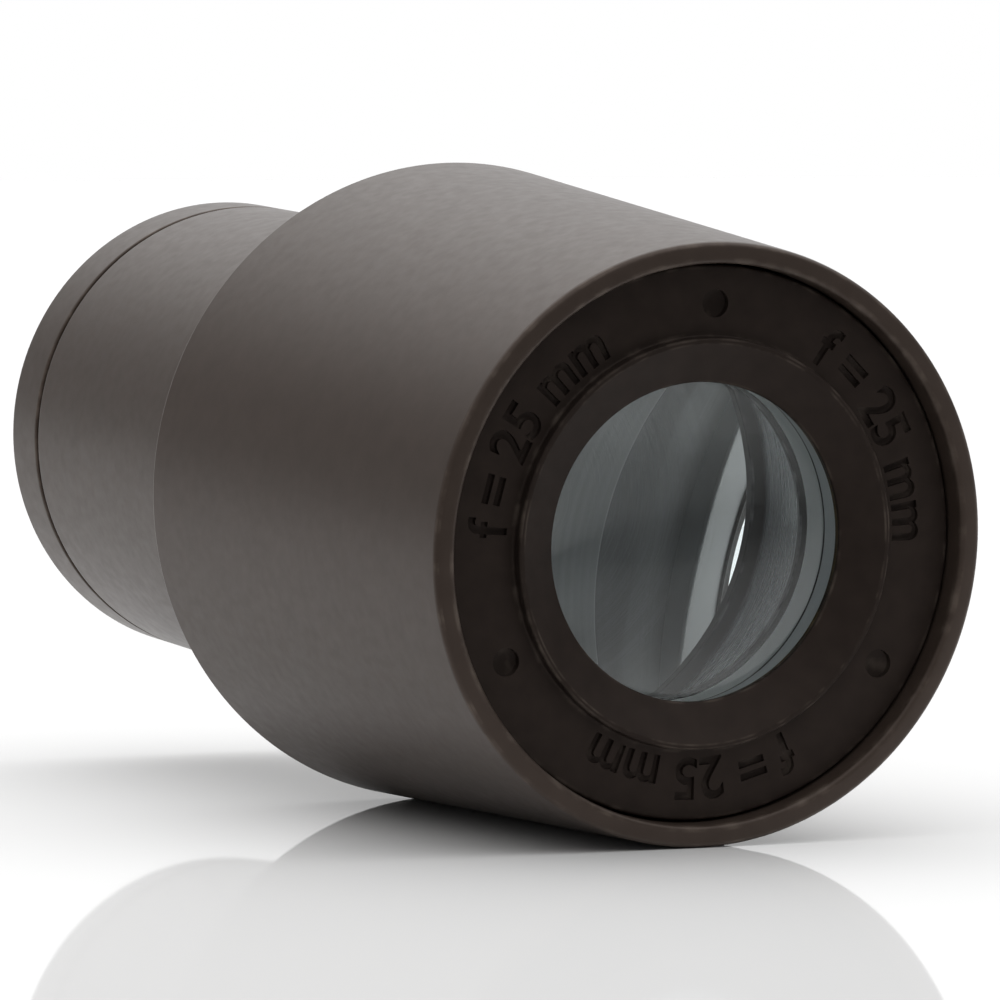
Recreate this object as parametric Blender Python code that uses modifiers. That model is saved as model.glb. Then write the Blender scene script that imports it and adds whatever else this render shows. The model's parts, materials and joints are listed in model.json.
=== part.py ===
"""Wide-field 10x eyepiece, modelled as the assembly that comes apart on a bench.

Every piece is turned about one optical axis. Sizes are in millimetres until they reach Blender, and
"depth" is the distance behind the plane of the front rim, so it grows from the eye to the field end.
The eyepiece lies on its side: its head is a cone, and the lowest strip of that cone rests on z = 0.
"""

import math

import bmesh
import bpy
from mathutils import Vector

MM = 0.001
TURN_STEPS = 48
HALF_STEP = math.pi / TURN_STEPS
MERGE_DISTANCE = 1e-6
SHARP_ANGLE = math.radians(30)

# Clearances along the axis and across it
SEAT_GAP = 0.12
FIT_GAP = 0.12

# Outside of the eyepiece
TOTAL_LENGTH = 56.9
BARREL_RADIUS = 11.6
HEAD_FRONT_RADIUS = 13.8
HEAD_REAR_RADIUS = 15.5
HEAD_SHOULDER_DEPTH = 28.8
FRONT_EDGE_ROUND = 0.3
REAR_EDGE_ROUND = 0.35
RIM_INNER_RADIUS = 12.8

# Eye cap
CAP_FLOOR_DEPTH = 1.13
BOSS_RADIUS = 9.4
BOSS_DEPTH = 0.53
FUNNEL_MOUTH_RADIUS = 9.15
APERTURE_RADIUS = 7.3
APERTURE_DEPTH = 1.57
LIP_THICKNESS = 0.25
CAP_WEB_DEPTH = 2.75
CAP_SKIRT_DEPTH = 4.9
CAP_SKIRT_WALL = 1.15
SOCKET_RADIUS = 0.65
SOCKET_DEPTH = 0.35
SOCKET_SIDES = 16
SOCKET_COUNT = 3
SOCKET_CIRCLE_RADIUS = 10.9
FIRST_SOCKET_ANGLE = 88

# Slip washer between the cap and the doublet
WASHER_INNER_RADIUS = 7.4
WASHER_OUTER_RADIUS = 7.9
WASHER_THICKNESS = 0.25

# Cemented eye lens; every radius of curvature is that of a dome
DOUBLET_RADIUS = 7.8
DOUBLET_DOME_RADIUS = 7.5
FLINT_FRONT_CURVE = 60.0
FLINT_CENTRE_THICKNESS = 2.9
CEMENT_CURVE = 30.0
CROWN_CENTRE_THICKNESS = 5.2
CROWN_REAR_CURVE = 31.0
CURVE_POINTS = 5

# Lens cell and spacer tube
CELL_RADIUS = 11.2
CELL_FLANGE_RADIUS = 12.6
CELL_FLANGE_THICKNESS = 1.5
CELL_FRONT_DEPTH = 2.9
CELL_REAR_DEPTH = 10.6
CELL_LAND_RADIUS = 7.5
CELL_LAND_THICKNESS = 0.5
CELL_REAR_BORE_RADIUS = 8.9
SPACER_INNER_RADIUS = 8.9

# Field lens, plano-convex, at the front of the barrel
BARREL_FRONT_DEPTH = 18.6
FIELD_LENS_RADIUS = 10.3
FIELD_LENS_DOME_RADIUS = 9.8
FIELD_LENS_CURVE = 17.4
FIELD_LENS_RIM_DEPTH = 20.6
FIELD_LENS_EDGE_THICKNESS = 1.8
LENS_RING_INNER_RADIUS = 8.6
LENS_RING_FRONT_DEPTH = 18.9
LENS_RING_REAR_DEPTH = 20.45
LENS_RING_CHAMFER = 1.0

# Barrel, field stop, stop tube and end ring
BARREL_WAIST_RADIUS = 9.9
BARREL_BORE_RADIUS = 10.5
FIELD_STOP_SHOULDER_DEPTH = 38.7
FIELD_STOP_APERTURE_RADIUS = 9.7
FIELD_STOP_THICKNESS = 0.8
FIELD_STOP_LAND = 0.2
STOP_TUBE_WALL = 0.5
END_RING_DEPTH = 53.5
END_GROOVE_WIDTH = 0.35
END_GROOVE_RADIUS = 11.15
END_RING_THREAD_LENGTH = 4.0
END_RING_BORE_RADIUS = 9.7
END_RING_BORE_CHAMFER = 0.5

# What follows from the driving sizes
CONE_ANGLE = math.atan((HEAD_REAR_RADIUS - HEAD_FRONT_RADIUS) / HEAD_SHOULDER_DEPTH)
CAP_RADIUS = RIM_INNER_RADIUS - FIT_GAP
LIP_REAR_DEPTH = APERTURE_DEPTH + LIP_THICKNESS
WASHER_POCKET_RADIUS = DOUBLET_RADIUS + 2 * FIT_GAP
WASHER_DEPTH = LIP_REAR_DEPTH + SEAT_GAP
DOUBLET_RIM_DEPTH = WASHER_DEPTH + WASHER_THICKNESS + SEAT_GAP
CELL_FLANGE_DEPTH = CAP_SKIRT_DEPTH + SEAT_GAP
CELL_SHOULDER_DEPTH = CELL_FLANGE_DEPTH + CELL_FLANGE_THICKNESS + SEAT_GAP
SPACER_DEPTH = CELL_REAR_DEPTH + SEAT_GAP
SPACER_REAR_DEPTH = BARREL_FRONT_DEPTH - SEAT_GAP
FIELD_LENS_REAR_DEPTH = FIELD_LENS_RIM_DEPTH + FIELD_LENS_EDGE_THICKNESS
FIELD_STOP_DEPTH = FIELD_STOP_SHOULDER_DEPTH + SEAT_GAP
BARREL_END_DEPTH = END_RING_DEPTH - SEAT_GAP
END_RING_THREAD_RADIUS = BARREL_BORE_RADIUS - FIT_GAP
END_RING_THREAD_DEPTH = BARREL_END_DEPTH - END_RING_THREAD_LENGTH
STOP_TUBE_DEPTH = FIELD_STOP_DEPTH + FIELD_STOP_THICKNESS + SEAT_GAP
STOP_TUBE_REAR_DEPTH = END_RING_THREAD_DEPTH - SEAT_GAP


def sag(curve, radius):
    """How far a dome of that radius of curvature has fallen away at that distance from the axis."""
    return curve - math.sqrt(curve * curve - radius * radius)


FLINT_FRONT_DEPTH = DOUBLET_RIM_DEPTH - sag(FLINT_FRONT_CURVE, DOUBLET_DOME_RADIUS)
CEMENT_DEPTH = FLINT_FRONT_DEPTH + FLINT_CENTRE_THICKNESS
CROWN_REAR_DEPTH = CEMENT_DEPTH + CROWN_CENTRE_THICKNESS
CELL_LAND_DEPTH = CROWN_REAR_DEPTH - sag(CROWN_REAR_CURVE, CELL_LAND_RADIUS) + SEAT_GAP
FIELD_LENS_APEX_DEPTH = FIELD_LENS_RIM_DEPTH - sag(FIELD_LENS_CURVE, FIELD_LENS_DOME_RADIUS)


def clear_scene():
    for obj in list(bpy.data.objects):
        bpy.data.objects.remove(obj, do_unlink=True)


def new_collection(name):
    collection = bpy.data.collections.new(name)
    bpy.context.scene.collection.children.link(collection)
    return collection


def material(name, colour, roughness, metallic=0.0, transmission=0.0):
    made = bpy.data.materials.new(name)
    made.use_nodes = True
    shader = made.node_tree.nodes["Principled BSDF"]
    shader.inputs["Base Color"].default_value = (*colour, 1.0)
    shader.inputs["Roughness"].default_value = roughness
    shader.inputs["Metallic"].default_value = metallic
    shader.inputs["Transmission Weight"].default_value = transmission
    return made


def place_axis():
    """An empty at the centre of the front rim. Its +Z is the optical axis, out of the eye end."""
    flat_bottom = math.cos(HALF_STEP)
    front = -(HEAD_FRONT_RADIUS - FRONT_EDGE_ROUND) * flat_bottom * math.sin(CONE_ANGLE)
    end_radius = (BARREL_RADIUS - REAR_EDGE_ROUND) * flat_bottom
    back = TOTAL_LENGTH * math.cos(CONE_ANGLE) + end_radius * math.sin(CONE_ANGLE)
    height = HEAD_FRONT_RADIUS * flat_bottom * math.cos(CONE_ANGLE)
    empty = bpy.data.objects.new("optical_axis", None)
    parts.objects.link(empty)
    empty.location = Vector((0, -(front + back) / 2, height)) * MM
    empty.rotation_euler.x = math.radians(90) + CONE_ANGLE
    return empty


def dome(curve, apex_depth, outer_radius, bulges_to_eye):
    """Points (radius, depth) of a spherical lens surface, from the axis to outer_radius."""
    side = 1 if bulges_to_eye else -1
    radii = [outer_radius * i / CURVE_POINTS for i in range(CURVE_POINTS + 1)]
    return [(radius, apex_depth + side * sag(curve, radius)) for radius in radii]


def rounded(centre, radius, start, end, steps=3):
    """Arc about the (radius, depth) centre; 0 degrees points away from the axis, 90 to the eye."""
    angles = [math.radians(start + (end - start) * i / steps) for i in range(steps + 1)]
    return [(centre[0] + radius * math.cos(a), centre[1] - radius * math.sin(a)) for a in angles]


def ring_outline(inner, outer, front, back):
    return [(outer, front), (outer, back), (inner, back), (inner, front)]


def turned(name, outline, look, closed=True):
    """Turns (radius, depth) points about the axis. They run down the outer side, then back up.

    The start is turned by half a step, so that a flat strip and not an edge lies at the bottom.
    """
    points = [(radius * MM, 0, -depth * MM) for radius, depth in outline]
    edges = [(i, i + 1) for i in range(len(points) - 1)]
    if closed:
        edges.append((len(points) - 1, 0))
    mesh = bpy.data.meshes.new(name)
    mesh.from_pydata(points, edges, [])
    mesh.materials.append(look)
    obj = bpy.data.objects.new(name, mesh)
    parts.objects.link(obj)
    obj.parent = axis_frame
    obj.rotation_euler.z = HALF_STEP
    screw = obj.modifiers.new("turn", "SCREW")
    screw.steps = screw.render_steps = TURN_STEPS
    screw.use_merge_vertices = True
    screw.merge_threshold = MERGE_DISTANCE
    return obj


def apply_and_smooth(obj):
    """Applies the modifiers and shades the piece smooth, except across its sharp corners."""
    graph = bpy.context.evaluated_depsgraph_get()
    mesh = bpy.data.meshes.new_from_object(obj.evaluated_get(graph))
    obj.modifiers.clear()
    obj.data = mesh
    mesh.shade_smooth()
    mesh.set_sharp_from_angle(angle=SHARP_ANGLE)


def make_head_shell():
    """The grip: a moulded cone. Its bore takes the cap, the lens cell, the spacer and the barrel."""
    cell_bore = CELL_RADIUS + FIT_GAP
    barrel_bore = BARREL_RADIUS + FIT_GAP
    front_centre = (HEAD_FRONT_RADIUS - FRONT_EDGE_ROUND, FRONT_EDGE_ROUND)
    rear_centre = (HEAD_REAR_RADIUS - REAR_EDGE_ROUND, HEAD_SHOULDER_DEPTH - REAR_EDGE_ROUND)
    outline = rounded(front_centre, FRONT_EDGE_ROUND, 90, 0)
    outline += rounded(rear_centre, REAR_EDGE_ROUND, 0, -90)
    outline += [
        (barrel_bore, HEAD_SHOULDER_DEPTH),
        (barrel_bore, SPACER_REAR_DEPTH),
        (cell_bore, SPACER_REAR_DEPTH),
        (cell_bore, CELL_SHOULDER_DEPTH),
        (RIM_INNER_RADIUS, CELL_SHOULDER_DEPTH),
        (RIM_INNER_RADIUS, 0),
    ]
    return turned("head_shell", outline, black_plastic)


def make_eye_cap():
    """Screwed into the head below its rim: a marked ring, a boss, and a funnel to the eye lens."""
    skirt_inner_radius = CAP_RADIUS - CAP_SKIRT_WALL
    outline = [
        (CAP_RADIUS, CAP_FLOOR_DEPTH),
        (CAP_RADIUS, CAP_SKIRT_DEPTH),
        (skirt_inner_radius, CAP_SKIRT_DEPTH),
        (skirt_inner_radius, CAP_WEB_DEPTH),
        (WASHER_POCKET_RADIUS, CAP_WEB_DEPTH),
        (WASHER_POCKET_RADIUS, LIP_REAR_DEPTH),
        (APERTURE_RADIUS, LIP_REAR_DEPTH),
        (APERTURE_RADIUS, APERTURE_DEPTH),
        (FUNNEL_MOUTH_RADIUS, BOSS_DEPTH),
        (BOSS_RADIUS, BOSS_DEPTH),
        (BOSS_RADIUS, CAP_FLOOR_DEPTH),
    ]
    cap = turned("eye_cap", outline, black_plastic)
    for i in range(SOCKET_COUNT):
        angle = math.radians(FIRST_SOCKET_ANGLE + 360 * i / SOCKET_COUNT)
        cut_spanner_socket(cap, f"socket_{i + 1}", angle)
    return cap


def cut_spanner_socket(cap, name, angle):
    """One of the small round sockets that a pin spanner turns the cap by."""
    above_floor = 1.0
    mesh = bpy.data.meshes.new(name)
    shape = bmesh.new()
    bmesh.ops.create_cone(
        shape,
        cap_ends=True,
        segments=SOCKET_SIDES,
        radius1=SOCKET_RADIUS * MM,
        radius2=SOCKET_RADIUS * MM,
        depth=(above_floor + SOCKET_DEPTH) * MM,
    )
    shape.to_mesh(mesh)
    shape.free()
    cutter = bpy.data.objects.new(name, mesh)
    cutters.objects.link(cutter)
    cutter.parent = axis_frame
    middle = CAP_FLOOR_DEPTH + (SOCKET_DEPTH - above_floor) / 2
    across = Vector((math.cos(angle), math.sin(angle), 0)) * SOCKET_CIRCLE_RADIUS
    cutter.location = (across - Vector((0, 0, middle))) * MM
    cutter.hide_render = True
    cutter.display_type = "WIRE"
    cut = cap.modifiers.new(name, "BOOLEAN")
    cut.operation = "DIFFERENCE"
    cut.object = cutter


def make_slip_washer():
    """Thin washer that lets the cap turn without turning the doublet."""
    rear = WASHER_DEPTH + WASHER_THICKNESS
    outline = ring_outline(WASHER_INNER_RADIUS, WASHER_OUTER_RADIUS, WASHER_DEPTH, rear)
    return turned("slip_washer", outline, blackened_brass)


def make_eye_lens():
    """Cemented doublet: a flint meniscus towards the eye and a biconvex crown behind it."""
    flint = dome(FLINT_FRONT_CURVE, FLINT_FRONT_DEPTH, DOUBLET_DOME_RADIUS, True)
    flint += [(DOUBLET_RADIUS, DOUBLET_RIM_DEPTH)]
    flint += reversed(dome(CEMENT_CURVE, CEMENT_DEPTH - SEAT_GAP, DOUBLET_RADIUS, True))
    turned("eye_lens_flint", flint, glass, closed=False)
    crown = dome(CEMENT_CURVE, CEMENT_DEPTH, DOUBLET_RADIUS, True)
    crown += reversed(dome(CROWN_REAR_CURVE, CROWN_REAR_DEPTH, DOUBLET_RADIUS, False))
    turned("eye_lens_crown", crown, glass, closed=False)


def make_lens_cell():
    """Holds the doublet on a land; its flange is clamped between the cap's skirt and the head."""
    front_radius = CAP_RADIUS - CAP_SKIRT_WALL - FIT_GAP
    doublet_bore = DOUBLET_RADIUS + FIT_GAP
    flange_rear = CELL_FLANGE_DEPTH + CELL_FLANGE_THICKNESS
    land_rear = CELL_LAND_DEPTH + CELL_LAND_THICKNESS
    outline = [
        (front_radius, CELL_FRONT_DEPTH),
        (front_radius, CELL_FLANGE_DEPTH),
        (CELL_FLANGE_RADIUS, CELL_FLANGE_DEPTH),
        (CELL_FLANGE_RADIUS, flange_rear),
        (CELL_RADIUS, flange_rear),
        (CELL_RADIUS, CELL_REAR_DEPTH),
        (CELL_REAR_BORE_RADIUS, CELL_REAR_DEPTH),
        (CELL_REAR_BORE_RADIUS, land_rear),
        (CELL_LAND_RADIUS, land_rear),
        (CELL_LAND_RADIUS, CELL_LAND_DEPTH),
        (doublet_bore, CELL_LAND_DEPTH),
        (doublet_bore, CELL_FRONT_DEPTH),
    ]
    return turned("lens_cell", outline, black_metal)


def make_spacer_tube():
    """Sets the distance from the lens cell to the front of the barrel."""
    outline = ring_outline(SPACER_INNER_RADIUS, CELL_RADIUS, SPACER_DEPTH, SPACER_REAR_DEPTH)
    return turned("spacer_tube", outline, black_metal)


def make_field_lens():
    """Its dome faces the eye and its flat side the field stop."""
    outline = dome(FIELD_LENS_CURVE, FIELD_LENS_APEX_DEPTH, FIELD_LENS_DOME_RADIUS, True)
    outline += [
        (FIELD_LENS_RADIUS, FIELD_LENS_RIM_DEPTH),
        (FIELD_LENS_RADIUS, FIELD_LENS_REAR_DEPTH),
        (0, FIELD_LENS_REAR_DEPTH),
    ]
    return turned("field_lens", outline, glass, closed=False)


def make_field_lens_ring():
    """Screwed ring, chamfered to clear the dome, that keeps the field lens on its seat."""
    outline = [
        (FIELD_LENS_RADIUS, LENS_RING_FRONT_DEPTH),
        (FIELD_LENS_RADIUS, LENS_RING_REAR_DEPTH),
        (LENS_RING_INNER_RADIUS + LENS_RING_CHAMFER, LENS_RING_REAR_DEPTH),
        (LENS_RING_INNER_RADIUS, LENS_RING_REAR_DEPTH - LENS_RING_CHAMFER),
        (LENS_RING_INNER_RADIUS, LENS_RING_FRONT_DEPTH),
    ]
    return turned("field_lens_ring", outline, black_metal)


def make_barrel():
    """The tube that goes into the instrument; its front end is fixed in the head."""
    lens_bore = FIELD_LENS_RADIUS + FIT_GAP
    lens_seat = FIELD_LENS_REAR_DEPTH + SEAT_GAP
    groove_depth = END_RING_DEPTH - END_GROOVE_WIDTH
    outline = [
        (BARREL_RADIUS, BARREL_FRONT_DEPTH),
        (BARREL_RADIUS, groove_depth),
        (END_GROOVE_RADIUS, groove_depth),
        (END_GROOVE_RADIUS, BARREL_END_DEPTH),
        (BARREL_BORE_RADIUS, BARREL_END_DEPTH),
        (BARREL_BORE_RADIUS, FIELD_STOP_SHOULDER_DEPTH),
        (BARREL_WAIST_RADIUS, FIELD_STOP_SHOULDER_DEPTH),
        (BARREL_WAIST_RADIUS, lens_seat),
        (lens_bore, lens_seat),
        (lens_bore, BARREL_FRONT_DEPTH),
    ]
    return turned("barrel", outline, black_plastic)


def make_field_stop():
    """Washer with a knife edge: its opening is the edge of the field that the eye sees."""
    outer = BARREL_BORE_RADIUS - FIT_GAP
    rear = FIELD_STOP_DEPTH + FIELD_STOP_THICKNESS
    outline = [
        (outer, FIELD_STOP_DEPTH),
        (outer, rear),
        (FIELD_STOP_APERTURE_RADIUS + FIELD_STOP_THICKNESS, rear),
        (FIELD_STOP_APERTURE_RADIUS, FIELD_STOP_DEPTH + FIELD_STOP_LAND),
        (FIELD_STOP_APERTURE_RADIUS, FIELD_STOP_DEPTH),
    ]
    return turned("field_stop", outline, black_metal)


def make_stop_tube():
    """Loose tube that holds the field stop on its shoulder; it slides out with the end ring."""
    outer = BARREL_BORE_RADIUS - FIT_GAP
    outline = ring_outline(outer - STOP_TUBE_WALL, outer, STOP_TUBE_DEPTH, STOP_TUBE_REAR_DEPTH)
    return turned("stop_tube", outline, black_metal)


def make_end_ring():
    """Screwed ring at the field end, with a lip as wide as the barrel."""
    lip_centre = (BARREL_RADIUS - REAR_EDGE_ROUND, TOTAL_LENGTH - REAR_EDGE_ROUND)
    outline = [
        (END_RING_THREAD_RADIUS, END_RING_THREAD_DEPTH),
        (END_RING_THREAD_RADIUS, END_RING_DEPTH),
        (BARREL_RADIUS, END_RING_DEPTH),
        *rounded(lip_centre, REAR_EDGE_ROUND, 0, -90),
        (END_RING_BORE_RADIUS + END_RING_BORE_CHAMFER, TOTAL_LENGTH),
        (END_RING_BORE_RADIUS, TOTAL_LENGTH - END_RING_BORE_CHAMFER),
        (END_RING_BORE_RADIUS, END_RING_THREAD_DEPTH),
    ]
    return turned("end_ring", outline, black_plastic)


clear_scene()
parts = new_collection("eyepiece")
cutters = new_collection("cutters")

black_plastic = material("black_plastic", (0.028, 0.024, 0.022), 0.42)
black_metal = material("black_metal", (0.03, 0.03, 0.032), 0.5, metallic=0.6)
blackened_brass = material("blackened_brass", (0.09, 0.07, 0.04), 0.35, metallic=1.0)
glass = material("glass", (0.9, 0.95, 1.0), 0.02, transmission=1.0)

axis_frame = place_axis()
make_head_shell()
make_eye_cap()
make_slip_washer()
make_eye_lens()
make_lens_cell()
make_spacer_tube()
make_field_lens()
make_field_lens_ring()
make_barrel()
make_field_stop()
make_stop_tube()
make_end_ring()

bpy.context.view_layer.update()
for part in parts.objects:
    if part.type == "MESH":
        apply_and_smooth(part)
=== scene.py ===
import json
import math
from collections import defaultdict, namedtuple

import bmesh
import bpy
from mathutils import Matrix, Vector


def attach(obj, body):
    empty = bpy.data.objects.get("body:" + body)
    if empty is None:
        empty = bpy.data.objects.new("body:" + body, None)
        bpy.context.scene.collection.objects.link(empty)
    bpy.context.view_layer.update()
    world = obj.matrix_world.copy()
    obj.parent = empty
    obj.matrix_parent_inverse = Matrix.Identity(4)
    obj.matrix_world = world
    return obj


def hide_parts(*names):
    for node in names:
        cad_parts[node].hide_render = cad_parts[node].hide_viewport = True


# The eyepiece's looks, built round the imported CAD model. Every piece is turned about the optical
# axis from the section of the CAD node it stands for. Sections are in millimetres: radius from the
# axis, and depth behind the plane of the front rim, which grows from the eye to the field end.

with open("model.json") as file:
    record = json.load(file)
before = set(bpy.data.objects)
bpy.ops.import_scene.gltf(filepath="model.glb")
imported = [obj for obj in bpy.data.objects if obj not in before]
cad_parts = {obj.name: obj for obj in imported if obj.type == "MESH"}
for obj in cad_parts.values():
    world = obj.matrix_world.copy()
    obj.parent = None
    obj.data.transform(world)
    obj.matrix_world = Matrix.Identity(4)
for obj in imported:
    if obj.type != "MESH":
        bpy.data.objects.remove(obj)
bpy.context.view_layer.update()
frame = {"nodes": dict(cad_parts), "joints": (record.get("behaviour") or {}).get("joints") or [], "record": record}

MM = 0.001
CAD_STEPS = 48
FIRST_MERIDIAN = math.pi / CAD_STEPS
ACROSS_FLATS = math.cos(math.pi / CAD_STEPS)
MERIDIAN_TOLERANCE = 0.01
ON_AXIS = 0.01
TURN_STEPS = 192

# Rounding of the turned corners
CORNER_TURN = math.radians(20)
CORNER_STEPS = 4
ROOM_SHARE = 0.45
CLEAR_OF_CORNER = 1.02
MOULDED_CORNER = 0.12
RIM_CORNER = 0.22
MACHINED_CORNER = 0.06
SHEET_CORNER = 0.03
DOME_STEPS = 20
DOME_TOLERANCE = 0.01
GROUND_CHAMFER = 0.12
POLISHED_FACING = 0.45
SHARP_ANGLE = math.radians(35)

# Screw threads. The pitch is the travel in one turn that the joints state.
THREAD_RINGS = 10
THREAD_DEPTH = 0.26
THREAD_RUNOUT = 0.5
THREAD_FLAT = 0.3
THREAD_MARGIN = 0.35
FILTER_PITCH = 0.5
FILTER_DEPTH = 0.16
RADIUS_TOLERANCE = 0.03

# Step in the barrel's waist. The wall before it is pale grey, and the wider wall behind it dark grey
BAFFLE_DEPTH = 34.4
BAFFLE_STEP = 0.15

# Moulded marking on the eye cap: the focal length, three times round
MARKING = "f = 25 mm"
MARKING_ANGLES = (28, 148, 268)
MARKING_HEIGHT = 2.0
MARKING_BASELINE = 9.75
MARKING_SPAN = math.radians(58)
MARKING_DEPTH = 0.3
MARKING_DRAFT = 0.05
MARKING_BOLDNESS = 0.022
SOCKET_ANGLES = (88, 208, 328)
SOCKET_CIRCLE = 10.9
SOCKET_RADIUS = 0.65
SOCKET_DEPTH = 0.35
SOCKET_POINT = 0.2
SOCKET_SIDES = 40
CUTTER_HEADROOM = 0.4
LETTER_WELD = 1e-5

GLASS_INDEX = 1.52

# Tint of the moulded plastic's gloss
WARM_SHEEN = (1.0, 0.84, 0.76, 1.0)

# Camera, at the photograph's viewing angle: degrees, metres, the lens in its millimetres, and the
# point that it aims at, from the centre of the front rim
VIEW_HEADING = 25.196
VIEW_PITCH = -2.97
VIEW_DISTANCE = 0.33831
VIEW_LENS = 270
VIEW_AIM = Vector((-8.625, 4.18, 2.08)) * MM

Point = namedtuple("Point", "radius depth edge", defaults=[0.0])

joints = {joint["name"]: joint for joint in frame["joints"]}
THREAD_PITCH = frame["record"]["behaviour"]["couplings"][0]["ratio"] * 2 * math.pi / MM


def axis_frame():
    """Origin at the centre of the front rim, +Z along the optical axis and out of the eye end."""
    turn = joints["cap_turn"]
    out = Vector(turn["axis"]).normalized()
    side = Vector((1, 0, 0))
    turned_up = out.cross(side)
    return Matrix.Translation(turn["pos_m"]) @ Matrix((side, turned_up, out)).transposed().to_4x4()


AXIS = axis_frame()
TO_AXIS = AXIS.inverted()


# ---------------------------------------------------------------- sections

def outline_of(node):
    """The CAD node's section, as points in order round it. A solid on the axis gives an open line."""
    mesh = frame["nodes"][node].data
    found = {}
    keys = {}
    for vertex in mesh.vertices:
        place = TO_AXIS @ vertex.co / MM
        radius = math.hypot(place.x, place.y)
        on_meridian = abs(math.atan2(place.y, place.x) - FIRST_MERIDIAN) < MERIDIAN_TOLERANCE
        if radius < ON_AXIS or on_meridian:
            key = (round(radius, 2), round(place.z, 2))
            keys[vertex.index] = key
            found[key] = Point(radius * ACROSS_FLATS, -place.z)
    neighbours = defaultdict(set)
    for edge in mesh.edges:
        first, second = (keys.get(index) for index in edge.vertices)
        if first and second and first != second:
            neighbours[first].add(second)
            neighbours[second].add(first)
    ends = [key for key, others in neighbours.items() if len(others) == 1]
    walk = [max(ends or neighbours, key=lambda key: key[1])]
    while ahead := neighbours[walk[-1]] - set(walk):
        walk.append(min(ahead))
    points = [found[key] for key in walk]
    if ends and points[-1].radius > ON_AXIS:
        points.append(Point(0, points[-1].depth))
    return points


def end_of_wear_and_highlight(corner, side, reach):
    """The point along that side of a corner where the wear on its rounding, and in the barrel's bore its painted
    highlight, has faded out.
    """
    fade = max(min(2 * reach, ROOM_SHARE * side.length), CLEAR_OF_CORNER * reach)
    return Point(*(corner + side.normalized() * fade))


def softened(outline, radius, closed=True):
    """The outline with its sharp corners rounded, as far as the sides beside each leave room."""
    points = []
    count = len(outline)
    for i, corner in enumerate(outline):
        if not closed and i in (0, count - 1):
            points.append(corner)
            continue
        here = Vector(corner[:2])
        to_last = Vector(outline[i - 1][:2]) - here
        to_next = Vector(outline[(i + 1) % count][:2]) - here
        turn = math.pi - to_last.angle(to_next)
        if turn < CORNER_TURN:
            points.append(corner)
            continue
        widest = radius * math.tan(turn / 2)
        reach = min(widest, ROOM_SHARE * to_last.length, ROOM_SHARE * to_next.length)
        bisector = (to_last.normalized() + to_next.normalized()).normalized()
        bend = reach / math.tan(turn / 2)
        centre = here + bisector * bend / math.cos(turn / 2)
        start = here + to_last.normalized() * reach - centre
        side = 1 if to_last.cross(to_next) < 0 else -1
        points.append(end_of_wear_and_highlight(here, to_last, reach))
        for step in range(CORNER_STEPS + 1):
            spoke = start.copy()
            spoke.rotate(Matrix.Rotation(side * turn * step / CORNER_STEPS, 2))
            points.append(Point(*(centre + spoke), 1.0))
        points.append(end_of_wear_and_highlight(here, to_next, reach))
    return points


def divided(outline, radius, first, last, spacing):
    """Adds points along the straight side at that radius, between those depths."""
    points = []
    for i, point in enumerate(outline):
        points.append(point)
        after = outline[(i + 1) % len(outline)]
        on_side = max(abs(point.radius - radius), abs(after.radius - radius)) < RADIUS_TOLERANCE
        low = max(first, min(point.depth, after.depth))
        high = min(last, max(point.depth, after.depth))
        if not on_side or high - low < spacing:
            continue
        steps = round((high - low) / spacing)
        depths = [low + (high - low) * k / steps for k in range(steps + 1)]
        ends = (point.depth, after.depth)
        extra = [Point(radius, d) for d in depths if min(abs(d - end) for end in ends) > spacing / 2]
        points += extra if after.depth > point.depth else reversed(extra)
    return points


def sag(curve, radius):
    """How far a dome of that radius of curvature has fallen away at that distance from the axis."""
    return curve - math.sqrt(curve * curve - radius * radius)


def dome(chain):
    """A true arc, from the axis, in place of the straight steps that begin this chain."""
    apex = chain[0].depth
    first_sag = chain[1].depth - apex
    if abs(first_sag) < DOME_TOLERANCE / 10:
        return chain[:1], chain[1:]
    curve = (chain[1].radius ** 2 + first_sag ** 2) / (2 * abs(first_sag))
    side = math.copysign(1, first_sag)
    count = 1
    while count < len(chain) and chain[count].radius > chain[count - 1].radius:
        if abs(apex + side * sag(curve, chain[count].radius) - chain[count].depth) > DOME_TOLERANCE:
            break
        count += 1
    rim = chain[count - 1]
    fall = abs(rim.depth - apex)
    curve = (rim.radius ** 2 + fall ** 2) / (2 * fall)
    radii = [rim.radius * k / DOME_STEPS for k in range(DOME_STEPS + 1)]
    return [Point(r, apex + side * sag(curve, r)) for r in radii], chain[count:]


def lens_outline(node):
    """A lens's section with smooth domes and a ground chamfer at its sharp edges."""
    chain = outline_of(node)
    front, rest = dome(chain)
    rear, middle = dome(rest[::-1])
    return softened(front + middle[::-1] + rear[::-1], GROUND_CHAMFER, closed=False)


# ---------------------------------------------------------------- meshes

def piece_from(name, shape):
    """Makes a bmesh in the axis frame, in millimetres, into an object at its place."""
    bmesh.ops.scale(shape, vec=(MM, MM, MM), verts=shape.verts)
    bmesh.ops.recalc_face_normals(shape, faces=shape.faces)
    mesh = bpy.data.meshes.new(name)
    shape.to_mesh(mesh)
    shape.free()
    obj = bpy.data.objects.new(name, mesh)
    bpy.context.scene.collection.objects.link(obj)
    obj.matrix_world = AXIS
    return obj


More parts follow.
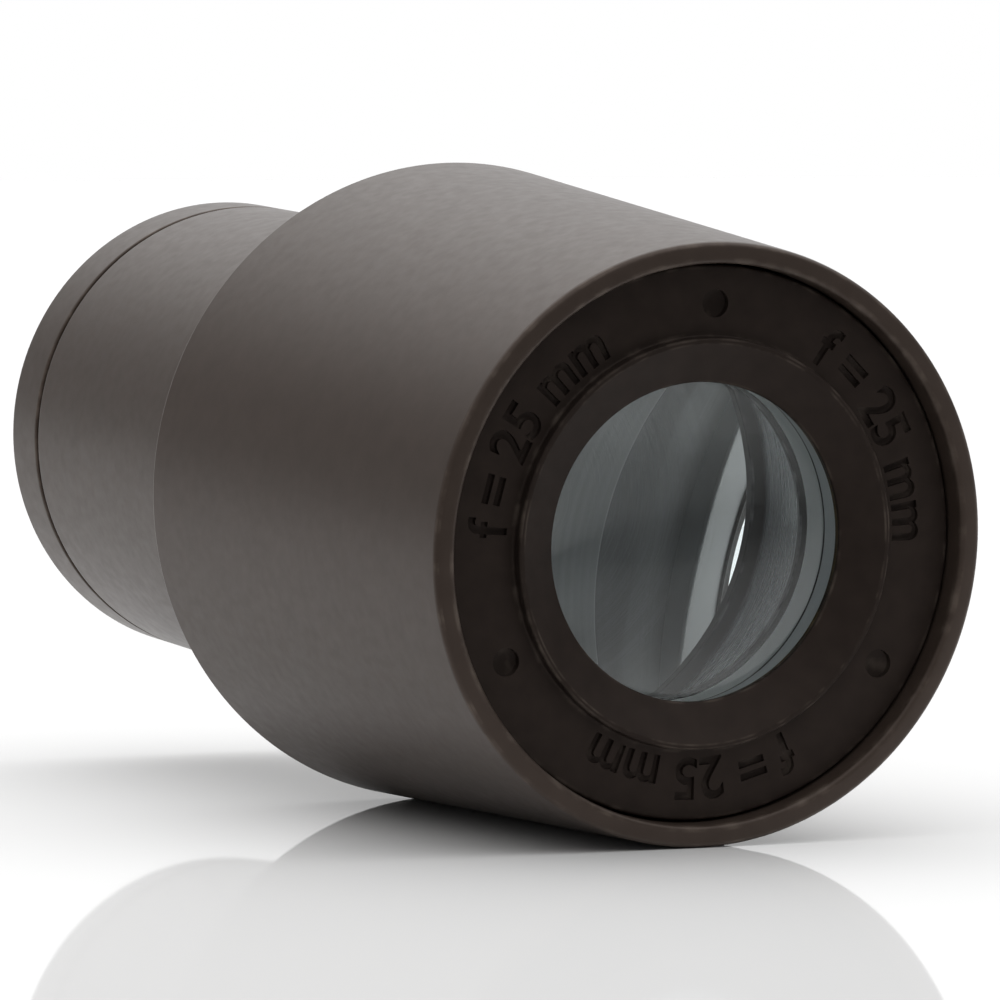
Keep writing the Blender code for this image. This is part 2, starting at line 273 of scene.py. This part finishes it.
def turned(name, outline, closed=True):
    """Turns the section round the axis. The worn layer is 1 on the rounded corners, where most pieces show wear
    and the barrel's bore a painted highlight.
    """
    shape = bmesh.new()
    worn = shape.verts.layers.float.new("worn")
    rings = []
    for point in outline:
        ring = []
        steps = TURN_STEPS if point.radius > ON_AXIS else 1
        for step in range(steps):
            angle = 2 * math.pi * step / TURN_STEPS
            x, y = point.radius * math.cos(angle), point.radius * math.sin(angle)
            vertex = shape.verts.new((x, y, -point.depth))
            vertex[worn] = point.edge
            ring.append(vertex)
        rings.append(ring)
    pairs = list(zip(rings, rings[1:]))
    if closed:
        pairs.append((rings[-1], rings[0]))
    for near, far in pairs:
        for step in range(TURN_STEPS):
            after = (step + 1) % TURN_STEPS
            corners = [near[step % len(near)], near[after % len(near)]]
            corners += [far[after % len(far)], far[step % len(far)]]
            shape.faces.new(dict.fromkeys(corners))
    return piece_from(name, shape)


def thread(obj, radius, first, last, pitch, depth, outward):
    """Cuts a helical thread into the wall at that radius, between those depths."""
    for vertex in obj.data.vertices:
        place = vertex.co / MM
        distance = math.hypot(place.x, place.y)
        along = -place.z
        if abs(distance - radius) > RADIUS_TOLERANCE or not first < along < last:
            continue
        phase = (along / pitch + math.atan2(place.y, place.x) / (2 * math.pi)) % 1
        groove = max(0, 1 - abs(2 * phase - 1) / (1 - THREAD_FLAT))
        runout = min(1, (along - first) / THREAD_RUNOUT, (last - along) / THREAD_RUNOUT)
        moved = distance + outward * depth * groove * runout
        vertex.co.x *= moved / distance
        vertex.co.y *= moved / distance


def bend_to_ring(vertices, middle, plane):
    """Bends flat lettering clockwise round the axis, with its baseline towards the centre."""
    centre_line = MARKING_BASELINE + MARKING_HEIGHT / 2
    for vertex in vertices:
        x, y, z = vertex.co
        angle = middle - x / centre_line
        radius = MARKING_BASELINE + y
        vertex.co = (radius * math.cos(angle), radius * math.sin(angle), z - plane)


def lettering(shape, angle, floor):
    """Adds one marking's solid letters, sunk by their depth into the cap's floor, to the bmesh."""
    text = bpy.data.curves.new("marking", "FONT")
    text.body = MARKING
    text.align_x = "CENTER"
    text.extrude = (MARKING_DEPTH + CUTTER_HEADROOM) / 2 - MARKING_DRAFT
    text.bevel_depth = MARKING_DRAFT
    text.bevel_resolution = 0
    text.offset = MARKING_BOLDNESS - MARKING_DRAFT
    text.resolution_u = 6
    writer = bpy.data.objects.new("marking", text)
    bpy.context.scene.collection.objects.link(writer)
    bpy.context.view_layer.update()
    tall = MARKING_HEIGHT / writer.dimensions.y
    wide = MARKING_SPAN * (MARKING_BASELINE + MARKING_HEIGHT / 2) / writer.dimensions.x
    graph = bpy.context.evaluated_depsgraph_get()
    flat = bpy.data.meshes.new_from_object(writer.evaluated_get(graph))
    bpy.data.objects.remove(writer)
    letters = bmesh.new()
    letters.from_mesh(flat)
    bmesh.ops.remove_doubles(letters, verts=letters.verts, dist=LETTER_WELD)
    low = min(vertex.co.y for vertex in letters.verts)
    for vertex in letters.verts:
        vertex.co.x *= wide
        vertex.co.y = (vertex.co.y - low) * tall
    lift = (CUTTER_HEADROOM - MARKING_DEPTH) / 2
    bend_to_ring(letters.verts, math.radians(angle), floor - lift)
    letters.to_mesh(flat)
    letters.free()
    shape.from_mesh(flat)


def socket(shape, angle, floor):
    """Adds one spanner socket's cutter: a drilled hole with a shallow point."""
    turn = math.radians(angle)
    middle = Vector((math.cos(turn), math.sin(turn), 0)) * SOCKET_CIRCLE
    rings = []
    for depth in (-CUTTER_HEADROOM, SOCKET_DEPTH):
        ring = []
        for k in range(SOCKET_SIDES):
            turn = 2 * math.pi * k / SOCKET_SIDES
            spoke = Vector((math.cos(turn), math.sin(turn), 0)) * SOCKET_RADIUS
            ring.append(shape.verts.new(middle + spoke - Vector((0, 0, floor + depth))))
        rings.append(ring)
    tip = shape.verts.new(middle - Vector((0, 0, floor + (SOCKET_DEPTH + SOCKET_POINT))))
    shape.faces.new(rings[0])
    for k in range(SOCKET_SIDES):
        after = (k + 1) % SOCKET_SIDES
        shape.faces.new((rings[0][k], rings[1][k], rings[1][after], rings[0][after]))
        shape.faces.new((rings[1][k], tip, rings[1][after]))


def finish_mesh(obj):
    """Smooth shading that keeps the flats flat, held in the mesh."""
    obj.data.shade_smooth()
    obj.data.set_sharp_from_angle(angle=SHARP_ANGLE)
    weighted = obj.modifiers.new("flat_flats", "WEIGHTED_NORMAL")
    weighted.keep_sharp = True
    graph = bpy.context.evaluated_depsgraph_get()
    mesh = bpy.data.meshes.new_from_object(obj.evaluated_get(graph))
    obj.modifiers.clear()
    obj.data = mesh


# ---------------------------------------------------------------- materials

class Look:
    """A material's nodes. Its coordinates are the axis frame's, in millimetres."""

    def __init__(self, name, **settings):
        self.material = bpy.data.materials.new(name)
        self.material.use_nodes = True
        self.tree = self.material.node_tree
        self.shader = self.tree.nodes["Principled BSDF"]
        for socket_name, value in settings.items():
            self.shader.inputs[socket_name.replace("_", " ")].default_value = value
        place = self.node("ShaderNodeTexCoord").outputs["Object"]
        scale = self.node("ShaderNodeVectorMath", operation="SCALE")
        scale.inputs["Scale"].default_value = 1 / MM
        self.tree.links.new(place, scale.inputs[0])
        self.place = scale.outputs[0]

    def node(self, kind, **settings):
        made = self.tree.nodes.new(kind)
        for name, value in settings.items():
            setattr(made, name, value)
        return made

    def noise(self, per_mm, detail, place=None):
        made = self.node("ShaderNodeTexNoise")
        made.inputs["Scale"].default_value = per_mm
        made.inputs["Detail"].default_value = detail
        self.tree.links.new(place or self.place, made.inputs["Vector"])
        return made.outputs["Fac"]

    def round_the_axis(self, per_radius, per_depth):
        """Coordinates that are the same all round the axis, for marks that turning leaves."""
        parts = self.node("ShaderNodeSeparateXYZ")
        self.tree.links.new(self.place, parts.inputs[0])
        flat = self.node("ShaderNodeCombineXYZ")
        self.tree.links.new(parts.outputs["X"], flat.inputs["X"])
        self.tree.links.new(parts.outputs["Y"], flat.inputs["Y"])
        radius = self.node("ShaderNodeVectorMath", operation="LENGTH")
        self.tree.links.new(flat.outputs[0], radius.inputs[0])
        outwards = self.math("MULTIPLY", radius.outputs["Value"], per_radius)
        inwards = self.math("MULTIPLY", parts.outputs["Z"], per_depth)
        around = self.node("ShaderNodeCombineXYZ")
        self.tree.links.new(outwards, around.inputs["X"])
        self.tree.links.new(inwards, around.inputs["Z"])
        return around.outputs[0]

    def math(self, operation, first, second):
        made = self.node("ShaderNodeMath", operation=operation)
        for slot, value in zip(made.inputs, (first, second)):
            if isinstance(value, (int, float)):
                slot.default_value = value
            else:
                self.tree.links.new(value, slot)
        return made.outputs[0]

    def spread(self, value, low, high, to_low=0.0, to_high=1.0):
        made = self.node("ShaderNodeMapRange")
        ends = {"From Min": low, "From Max": high, "To Min": to_low, "To Max": to_high}
        for name, number in ends.items():
            made.inputs[name].default_value = number
        self.tree.links.new(value, made.inputs["Value"])
        return made.outputs["Result"]

    def blend(self, factor, first, second):
        made = self.node("ShaderNodeMix", data_type="RGBA")
        self.tree.links.new(factor, made.inputs["Factor"])
        for socket_name, colour in (("A", first), ("B", second)):
            slot = [s for s in made.inputs if s.name == socket_name and s.type == "RGBA"][0]
            if isinstance(colour, tuple):
                slot.default_value = (*colour, 1.0)
            else:
                self.tree.links.new(colour, slot)
        return [s for s in made.outputs if s.type == "RGBA"][0]

    def set(self, socket_name, value):
        self.tree.links.new(value, self.shader.inputs[socket_name])

    def bump(self, height, tall):
        """Raises the surface by the height's value, which is tall millimetres where it is 1."""
        made = self.node("ShaderNodeBump")
        made.inputs["Distance"].default_value = tall * MM
        self.tree.links.new(height, made.inputs["Height"])
        self.set("Normal", made.outputs[0])

    def worn_edges(self):
        """How worn the surface is: high on the rounded corners, in patches."""
        made = self.node("ShaderNodeAttribute", attribute_name="worn")
        patches = self.spread(self.noise(0.9, 3.0), 0.48, 0.72)
        return self.math("MULTIPLY", made.outputs["Fac"], patches)


def moulded_plastic(name, dark, light, worn, roughness, sheen):
    """Black-brown moulded plastic: a fine satin grain, faint mottling, rubbed corners."""
    look = Look(name, IOR=1.5, Specular_IOR_Level=sheen, Specular_Tint=WARM_SHEEN)
    mottled = look.blend(look.spread(look.noise(0.9, 5.0), 0.3, 0.7), dark, light)
    look.set("Base Color", look.blend(look.worn_edges(), mottled, worn))
    look.set("Roughness", look.spread(look.noise(1.6, 5.0), 0.3, 0.7, *roughness))
    look.bump(look.noise(9.0, 3.0), 0.0015)
    return look.material


def bore_plastic(name, dark, light, corner_highlight, sheen):
    """The grey finish inside the barrel: faint turned lines, and a paler painted highlight on every rounded
    corner.
    """
    look = Look(name, IOR=1.5, Specular_IOR_Level=sheen)
    lines = look.noise(1.0, 2.0, look.round_the_axis(1.0, 5.0))
    plain = look.blend(look.spread(lines, 0.35, 0.65), dark, light)
    # Painted highlight: every rounded corner that the worn layer marks takes the paler corner colour, with no wear
    # patches
    corner = look.node("ShaderNodeAttribute", attribute_name="worn").outputs["Fac"]
    look.set("Base Color", look.blend(corner, plain, corner_highlight))
    look.set("Roughness", look.spread(look.noise(0.6, 3.0), 0.3, 0.7, 0.45, 0.55))
    look.bump(lines, 0.0005)
    return look.material


def blackened_metal():
    """Black anodised aluminium, with fine turning lines that bare metal shows through at edges."""
    look = Look("blackened_metal", IOR=1.6, Metallic=0.35)
    lines = look.noise(1.0, 3.0, look.round_the_axis(14.0, 14.0))
    black = look.blend(look.spread(lines, 0.3, 0.7), (0.018, 0.018, 0.019), (0.034, 0.034, 0.036))
    look.set("Base Color", look.blend(look.worn_edges(), black, (0.22, 0.22, 0.23)))
    look.set("Roughness", look.spread(lines, 0.3, 0.7, 0.26, 0.42))
    look.bump(lines, 0.003)
    return look.material


def blackened_brass():
    """Turned brass, chemically blackened, with a little of its colour left."""
    look = Look("blackened_brass", Metallic=1.0)
    lines = look.noise(1.0, 3.0, look.round_the_axis(18.0, 18.0))
    aged = look.spread(look.noise(0.7, 4.0), 0.4, 0.65)
    bright = look.blend(look.spread(lines, 0.3, 0.7), (0.10, 0.075, 0.035), (0.16, 0.115, 0.05))
    look.set("Base Color", look.blend(aged, bright, (0.03, 0.024, 0.018)))
    look.set("Roughness", look.spread(lines, 0.3, 0.7, 0.24, 0.4))
    look.bump(lines, 0.003)
    return look.material


def coated_glass():
    """Polished glass, tinted faintly blue-green by its coating, with a trace of haze from dust."""
    look = Look("lens_glass", IOR=GLASS_INDEX, Transmission_Weight=1.0)
    haze = look.spread(look.noise(1.4, 6.0), 0.62, 0.85)
    look.set("Base Color", look.blend(haze, (0.93, 0.97, 0.98), (0.88, 0.92, 0.94)))
    look.set("Roughness", look.spread(haze, 0.0, 1.0, 0.0, 0.008))
    return look.material


def ground_edge(name, dark, light):
    """A lens's rim, left matt by the grinding wheel."""
    look = Look(name)
    grain = look.noise(12.0, 3.0)
    look.set("Base Color", look.blend(grain, dark, light))
    look.set("Roughness", look.spread(grain, 0.3, 0.7, 0.6, 0.8))
    look.bump(grain, 0.01)
    return look.material


def optical_cement():
    """The cemented faces: glass meets cement meets glass, so light goes straight through."""
    look = Look("optical_cement", IOR=1.0, Transmission_Weight=1.0, Roughness=0.0)
    haze = look.spread(look.noise(1.1, 4.0), 0.4, 0.8)
    look.set("Base Color", look.blend(haze, (0.99, 0.99, 0.98), (0.97, 0.97, 0.95)))
    return look.material


def satin_aluminium(node):
    """Turned aluminium, bare at the eye end, with painted shade that darkens it towards the field end of the node.
    """
    look = Look("satin_aluminium", Metallic=1.0)
    depths = [point.depth for point in outline_of(node)]
    lines = look.noise(1.0, 3.0, look.round_the_axis(12.0, 12.0))
    bare = look.blend(look.spread(lines, 0.3, 0.7), (0.90, 0.92, 0.93), (0.95, 0.97, 0.98))
    along = look.node("ShaderNodeSeparateXYZ")
    look.tree.links.new(look.place, along.inputs[0])
    # Painted shade: the colour falls from the bare metal to a darker grey with depth, towards the field end
    painted_shade_to_field_end = look.spread(along.outputs["Z"], -min(depths), -max(depths))
    look.set("Base Color", look.blend(painted_shade_to_field_end, bare, (0.60, 0.62, 0.65)))
    look.set("Roughness", look.spread(lines, 0.3, 0.7, 0.2, 0.32))
    look.bump(lines, 0.0036)
    return look.material


def give(obj, body, nodes, look):
    """Dresses a finished piece and puts it on its body, in place of its CAD nodes."""
    obj.data.materials.clear()
    obj.data.materials.append(look)
    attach(obj, body)
    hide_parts(*nodes)


def paint(obj, look, where):
    """Another material for the faces that where(radius, depth, how squarely it faces the eye) picks.

    Radius and depth are in millimetres, and squareness is 1 facing the eye and -1 facing away.
    """
    obj.data.materials.append(look)
    index = len(obj.data.materials) - 1
    for face in obj.data.polygons:
        place = face.center / MM
        if where(math.hypot(place.x, place.y), -place.z, face.normal.z):
            face.material_index = index


# ---------------------------------------------------------------- pieces

def make_head_shell():
    """The tapered grip, threaded inside its front rim for the eye cap."""
    outline = outline_of("head_shell")
    cap = outline_of("eye_cap")
    bore = min(p.radius for p in outline if p.depth < ON_AXIS)
    first = min(p.depth for p in cap if p.radius > bore - 1) + THREAD_MARGIN
    last = max(p.depth for p in outline if abs(p.radius - bore) < RADIUS_TOLERANCE) - THREAD_MARGIN
    smooth = softened(outline, RIM_CORNER)
    smooth = divided(smooth, bore, first, last, THREAD_PITCH / THREAD_RINGS)
    shell = turned("grip_shell", smooth)
    thread(shell, bore, first, last, THREAD_PITCH, THREAD_DEPTH, 1)
    finish_mesh(shell)
    give(shell, "housing", ["head_shell"], plastic)


def make_eye_cap():
    """The threaded cap, with the markings and the sockets cut into the floor inside the rim."""
    outline = outline_of("eye_cap")
    skirt = max(p.radius for p in outline)
    rim = [p.depth for p in outline if abs(p.radius - skirt) < RADIUS_TOLERANCE]
    floor = min(rim)
    first, last = floor + THREAD_MARGIN, max(rim) - THREAD_MARGIN
    smooth = divided(softened(outline, MOULDED_CORNER), skirt, first, last, THREAD_PITCH / THREAD_RINGS)
    cap = turned("marked_eye_cap", smooth)
    thread(cap, skirt, first, last, THREAD_PITCH, THREAD_DEPTH, -1)
    shape = bmesh.new()
    for angle in MARKING_ANGLES:
        lettering(shape, angle, floor)
    for angle in SOCKET_ANGLES:
        socket(shape, angle, floor)
    cutter = piece_from("cutter", shape)
    cut = cap.modifiers.new("markings", "BOOLEAN")
    cut.operation = "DIFFERENCE"
    cut.object = cutter
    graph = bpy.context.evaluated_depsgraph_get()
    mesh = bpy.data.meshes.new_from_object(cap.evaluated_get(graph))
    cap.modifiers.clear()
    cap.data = mesh
    bpy.data.objects.remove(cutter)
    finish_mesh(cap)
    # The cap's plastic carries painted shade, darker than the grip's
    give(cap, "eye_cap", ["eye_cap"], painted_shade_cap_plastic)


def make_plain(name, node, body, look, corner):
    """A turned piece with nothing but its softened section."""
    obj = turned(name, softened(outline_of(node), corner))
    finish_mesh(obj)
    give(obj, body, [node], look)


def make_barrel():
    """The insert barrel: pale grey inside as far as a step in its waist, and threaded at its end."""
    outline = outline_of("barrel")
    end = max(p.depth for p in outline)
    bore = min(p.radius for p in outline if abs(p.depth - end) < RADIUS_TOLERANCE)
    ring = outline_of("end_ring")
    first = min(p.depth for p in ring)
    last = end - THREAD_MARGIN
    waist = min(p.radius for p in outline)
    shoulder = max(p.depth for p in outline if p.radius < waist + RADIUS_TOLERANCE)
    stepped = []
    for point in outline:
        if point.radius < waist + RADIUS_TOLERANCE and point.depth == shoulder:
            stepped += [
                Point(waist, BAFFLE_DEPTH),
                Point(waist + BAFFLE_STEP, BAFFLE_DEPTH + BAFFLE_STEP),
                Point(waist + BAFFLE_STEP, shoulder),
            ]
        else:
            stepped.append(point)
    smooth = divided(softened(stepped, MACHINED_CORNER), bore, first, last, THREAD_PITCH / THREAD_RINGS)
    barrel = turned("insert_barrel", smooth)
    thread(barrel, bore, first, last, THREAD_PITCH, THREAD_DEPTH, 1)
    finish_mesh(barrel)
    give(barrel, "housing", ["barrel"], plastic)
    inside = bore + THREAD_DEPTH
    front = min(p.depth for p in outline)
    seat = min(p.depth for p in outline if p.radius < waist + RADIUS_TOLERANCE)
    paint(barrel, bore_look, lambda radius, depth, facing: radius < inside and depth > front)
    paint(barrel, waist_look, lambda radius, depth, facing: radius < bore and seat < depth < BAFFLE_DEPTH)


def make_end_ring():
    """The field end's ring: its own thread outside, and a finer filter thread inside."""
    outline = outline_of("end_ring")
    front = min(p.depth for p in outline)
    thread_radius = max(p.radius for p in outline if p.depth < front + RADIUS_TOLERANCE)
    lip = [p.depth for p in outline if p.radius > thread_radius + RADIUS_TOLERANCE]
    inner = min(p.radius for p in outline)
    first, last = front + THREAD_MARGIN, min(lip) - THREAD_MARGIN
    rear = max(p.depth for p in outline if abs(p.radius - inner) < RADIUS_TOLERANCE)
    smooth = softened(outline, MOULDED_CORNER)
    smooth = divided(smooth, thread_radius, first, last, THREAD_PITCH / THREAD_RINGS)
    smooth = divided(smooth, inner, first, rear, FILTER_PITCH / THREAD_RINGS)
    ring = turned("field_end_ring", smooth)
    thread(ring, thread_radius, first, last, THREAD_PITCH, THREAD_DEPTH, -1)
    thread(ring, inner, first, rear, FILTER_PITCH, FILTER_DEPTH, 1)
    finish_mesh(ring)
    give(ring, "end_ring", ["end_ring"], plastic)


def make_lens(name, node, look, edge_look, cemented=None):
    """A lens with a ground edge. Its cemented side, if any, faces or backs the eye."""
    lens = turned(name, lens_outline(node), closed=False)
    finish_mesh(lens)
    give(lens, "housing", [node], look)
    paint(lens, edge_look, lambda radius, depth, facing: abs(facing) < POLISHED_FACING)
    if cemented:
        side = 1 if cemented == "front" else -1
        paint(lens, cement, lambda radius, depth, facing: side * facing > POLISHED_FACING)


# ---------------------------------------------------------------- studio

# Radiance of the surroundings as the pieces reflect them. The camera itself sees white.
OVERHEAD = 2.2
AHEAD = 0.95
SURROUND = 0.22
FRONT = 0.34
WHITE = (1, 1, 1, 1)

# Where each of them fades in. Overhead goes by a direction's height, and the others by how nearly
# it points away from the viewer: 1 straight ahead and -1 straight back
OVERHEAD_FADE = (0.3, 0.8)
AHEAD_FADE = (0.62, 0.9)
AROUND_FADE = (-0.6, 0.6)
OVERHEAD_BEHIND_VIEWER = 0.5
BEHIND_VIEWER_FADE = (-0.6, 0.3)

# The floor's white as the camera sees it and as it lights the pieces. The second falls to the dim
# value between two places in front of the origin, in metres along the view
FLOOR_SIZE = 6.0
FLOOR_SEEN = 0.65
FLOOR_WHITE = 0.9
FLOOR_DIM = 0.12
FLOOR_DIM_FROM = -0.03
FLOOR_DIM_TO = -0.07
FLOOR_GLOSS = 0.26
FLOOR_GLOSS_ROUGHNESS = 0.03


def view_direction():
    """The way the camera looks, which the light and the floor are laid out along."""
    heading, pitch = math.radians(VIEW_HEADING), math.radians(VIEW_PITCH)
    flat = math.cos(pitch)
    return Vector((math.sin(heading) * flat, math.cos(heading) * flat, math.sin(pitch)))


def place_camera():
    data = bpy.data.cameras.new("camera")
    data.lens = VIEW_LENS
    data.clip_start = 0.01
    camera = bpy.data.objects.new("camera", data)
    bpy.context.scene.collection.objects.link(camera)
    forward = view_direction()
    camera.location = AXIS.translation + VIEW_AIM - forward * VIEW_DISTANCE
    camera.rotation_euler = forward.to_track_quat("-Z", "Y").to_euler()
    bpy.context.scene.camera = camera


def world_node(tree, kind, *values, **settings):
    """A node of the world's tree with its first inputs set or linked."""
    made = tree.nodes.new(kind)
    for name, value in settings.items():
        setattr(made, name, value)
    for slot, value in zip(made.inputs, values):
        if isinstance(value, bpy.types.NodeSocket):
            tree.links.new(value, slot)
        else:
            slot.default_value = value
    return made.outputs


def mixed_value(tree, factor, first, second):
    """first, a socket, where factor is 0, and the number second where it is 1."""
    made = tree.nodes.new("ShaderNodeMix")
    tree.links.new(factor, made.inputs["Factor"])
    tree.links.new(first, made.inputs["A"])
    made.inputs["B"].default_value = second
    return made.outputs["Result"]


def faded(tree, value, ends, low, high):
    """From low to high, smoothly, as the value goes from one of the ends to the other."""
    settings = {"interpolation_type": "SMOOTHSTEP"}
    return world_node(tree, "ShaderNodeMapRange", value, *ends, low, high, **settings)["Result"]


def light_studio():
    """A large soft light overhead and a lit backdrop ahead; the sides and the front are dim."""
    world = bpy.data.worlds.new("studio")
    bpy.context.scene.world = world
    world.use_nodes = True
    tree = world.node_tree
    direction = world_node(tree, "ShaderNodeTexCoord")["Generated"]
    up = world_node(tree, "ShaderNodeSeparateXYZ", direction)["Z"]
    forward = view_direction()
    ahead = Vector((forward.x, forward.y, 0)).normalized()
    facing = world_node(tree, "ShaderNodeVectorMath", direction, ahead, operation="DOT_PRODUCT")["Value"]
    overhead = faded(tree, up, OVERHEAD_FADE, 0.0, OVERHEAD)
    weakened = faded(tree, facing, BEHIND_VIEWER_FADE, OVERHEAD_BEHIND_VIEWER, 1.0)
    overhead = world_node(tree, "ShaderNodeMath", overhead, weakened, operation="MULTIPLY")[0]
    backdrop = faded(tree, facing, AHEAD_FADE, 0.0, AHEAD)
    around = faded(tree, facing, AROUND_FADE, FRONT, SURROUND)
    total = world_node(tree, "ShaderNodeMath", overhead, backdrop, operation="ADD")[0]
    total = world_node(tree, "ShaderNodeMath", total, around, operation="ADD")[0]
    seen = world_node(tree, "ShaderNodeLightPath")["Is Camera Ray"]
    background = tree.nodes["Background"]
    tree.links.new(mixed_value(tree, seen, total, 1.0), background.inputs["Strength"])
    background.inputs["Color"].default_value = WHITE


def lay_floor():
    """A white sheet with a faint, sharp sheen, which lights the pieces less in front of them."""
    shape = bmesh.new()
    bmesh.ops.create_grid(shape, x_segments=8, y_segments=8, size=FLOOR_SIZE / 2)
    mesh = bpy.data.meshes.new("floor")
    shape.to_mesh(mesh)
    shape.free()
    floor = bpy.data.objects.new("floor", mesh)
    bpy.context.scene.collection.objects.link(floor)
    material = bpy.data.materials.new("white_sheet")
    material.use_nodes = True
    tree = material.node_tree
    place = world_node(tree, "ShaderNodeTexCoord")["Object"]
    forward = view_direction()
    behind = world_node(tree, "ShaderNodeVectorMath", place, forward, operation="DOT_PRODUCT")["Value"]
    reflected = world_node(
        tree, "ShaderNodeMapRange", behind, FLOOR_DIM_FROM, FLOOR_DIM_TO, FLOOR_WHITE, FLOOR_DIM
    )["Result"]
    seen = world_node(tree, "ShaderNodeLightPath")["Is Camera Ray"]
    white = mixed_value(tree, seen, reflected, FLOOR_SEEN)
    matt = world_node(tree, "ShaderNodeBsdfDiffuse", white)[0]
    gloss = world_node(tree, "ShaderNodeBsdfGlossy", WHITE, FLOOR_GLOSS_ROUGHNESS)[0]
    mixed = world_node(tree, "ShaderNodeMixShader", FLOOR_GLOSS, matt, gloss)[0]
    tree.links.new(mixed, tree.nodes["Material Output"].inputs["Surface"])
    mesh.materials.append(material)


# ---------------------------------------------------------------- assembly

plastic = moulded_plastic(
    "grip_plastic",
    dark=(0.030, 0.0215, 0.017),
    light=(0.036, 0.026, 0.021),
    worn=(0.07, 0.055, 0.045),
    roughness=(0.38, 0.44),
    sheen=0.3,
)
# Painted shade: the eye cap takes a darker copy of the grip's plastic, for the shade that falls on its face
painted_shade_cap_plastic = moulded_plastic(
    "cap_plastic",
    dark=(0.0145, 0.0105, 0.0088),
    light=(0.0195, 0.0142, 0.0119),
    worn=(0.05, 0.04, 0.033),
    roughness=(0.42, 0.5),
    sheen=0.12,
)
bore_look = bore_plastic(
    "bore_plastic",
    dark=(0.135, 0.145, 0.16),
    light=(0.16, 0.17, 0.185),
    # Painted highlight on the bore's rounded corners
    corner_highlight=(0.3, 0.31, 0.31),
    sheen=0.12,
)
waist_look = bore_plastic(
    "waist_plastic",
    dark=(0.47, 0.50, 0.505),
    light=(0.53, 0.56, 0.565),
    # Painted highlight on the waist's rounded corners
    corner_highlight=(0.85, 0.87, 0.87),
    sheen=0.2,
)
metal = blackened_metal()
dark_brass = blackened_brass()
glass = coated_glass()
cement = optical_cement()
pale_edge = ground_edge("pale_ground_edge", (0.84, 0.88, 0.89), (0.93, 0.96, 0.97))
grey_edge = ground_edge("grey_ground_edge", (0.66, 0.70, 0.71), (0.78, 0.81, 0.82))
aluminium = satin_aluminium("spacer_tube")

make_head_shell()
make_eye_cap()
make_plain("brass_slip_washer", "slip_washer", "slip_washer", dark_brass, SHEET_CORNER)
make_lens("flint_element", "eye_lens_flint", glass, grey_edge, cemented="rear")
make_lens("crown_element", "eye_lens_crown", glass, pale_edge, cemented="front")
make_plain("doublet_cell", "lens_cell", "housing", metal, MACHINED_CORNER)
make_plain("distance_tube", "spacer_tube", "housing", aluminium, MACHINED_CORNER)
make_lens("plano_convex_lens", "field_lens", glass, grey_edge)
make_plain("lens_retaining_ring", "field_lens_ring", "housing", metal, MACHINED_CORNER)
make_barrel()
make_plain("field_stop_washer", "field_stop", "housing", waist_look, SHEET_CORNER)
make_plain("loose_stop_tube", "stop_tube", "stop_tube", metal, SHEET_CORNER)
make_end_ring()

place_camera()
light_studio()
lay_floor()
bpy.context.scene.view_settings.view_transform = "Standard"
